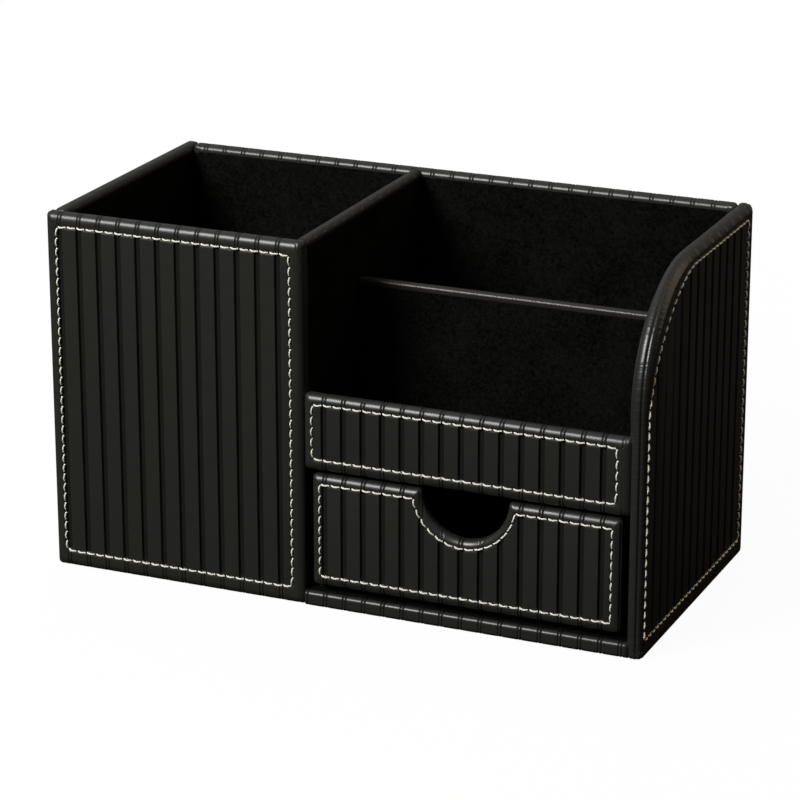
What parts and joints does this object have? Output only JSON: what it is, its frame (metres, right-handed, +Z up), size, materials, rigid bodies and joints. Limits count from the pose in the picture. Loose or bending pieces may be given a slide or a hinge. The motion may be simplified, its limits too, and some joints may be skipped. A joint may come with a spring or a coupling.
{
  "type": "desk organiser",
  "caption": "Ribbed leather desk organiser with a tall pen cup, a divided open tray and a sliding drawer with a half-round finger notch.",
  "frame": {"origin": "middle of the footprint, on the surface that the stand rests on", "axes": "+X to the right seen from the front, +Y to the back, +Z up"},
  "size_m": [0.245, 0.12, 0.1445],
  "materials": {
    "ribbed_leather": "satin, pressed ribs",
    "edge_leather": "satin, smooth",
    "velvet": "short pile",
    "board": "raw fibreboard",
    "felt": "flat felt",
    "drawer_board": "black flocked"
  },
  "bodies": {
    "carcass": {"cup_front_board": "board", "cup_front_lining": "velvet", "cup_front_cover": "ribbed_leather", "left_side_board": "board", "left_side_lining": "velvet", "left_side_cover": "ribbed_leather", "back_board": "board", "back_tray_lining": "velvet", "back_cup_lining": "velvet", "back_cover": "ribbed_leather", "right_side_board": "board", "right_side_lining": "velvet", "right_side_cover": "ribbed_leather", "lip_board": "board", "lip_lining": "velvet", "lip_cover": "ribbed_leather", "bay_base_board": "board", "bay_base_edge_cover": "ribbed_leather", "bay_base_lining": "velvet", "bay_base_felt": "felt", "cup_floor_board": "board", "cup_floor_lining": "velvet", "cup_floor_felt": "felt", "shelf_under_lining": "velvet", "shelf_board": "board", "tray_floor_lining": "velvet", "partition_board": "board", "partition_cup_lining": "velvet", "partition_tray_lining": "velvet", "partition_edge_cover": "edge_leather", "divider_board": "board", "divider_front_lining": "velvet", "divider_back_lining": "velvet", "divider_edge_cover": "edge_leather"},
    "drawer": {"drawer_front_board": "board", "drawer_front_lining": "velvet", "drawer_front_cover": "ribbed_leather", "drawer_bottom": "drawer_board", "drawer_left_side": "drawer_board", "drawer_right_side": "drawer_board", "drawer_back": "drawer_board", "drawer_floor_lining": "velvet"}
  },
  "joints": [
    {"name": "drawer_slide", "type": "slide", "parent": "carcass", "child": "drawer", "axis": [0, -1, 0], "range_m": [0, 0.09]}
  ]
}
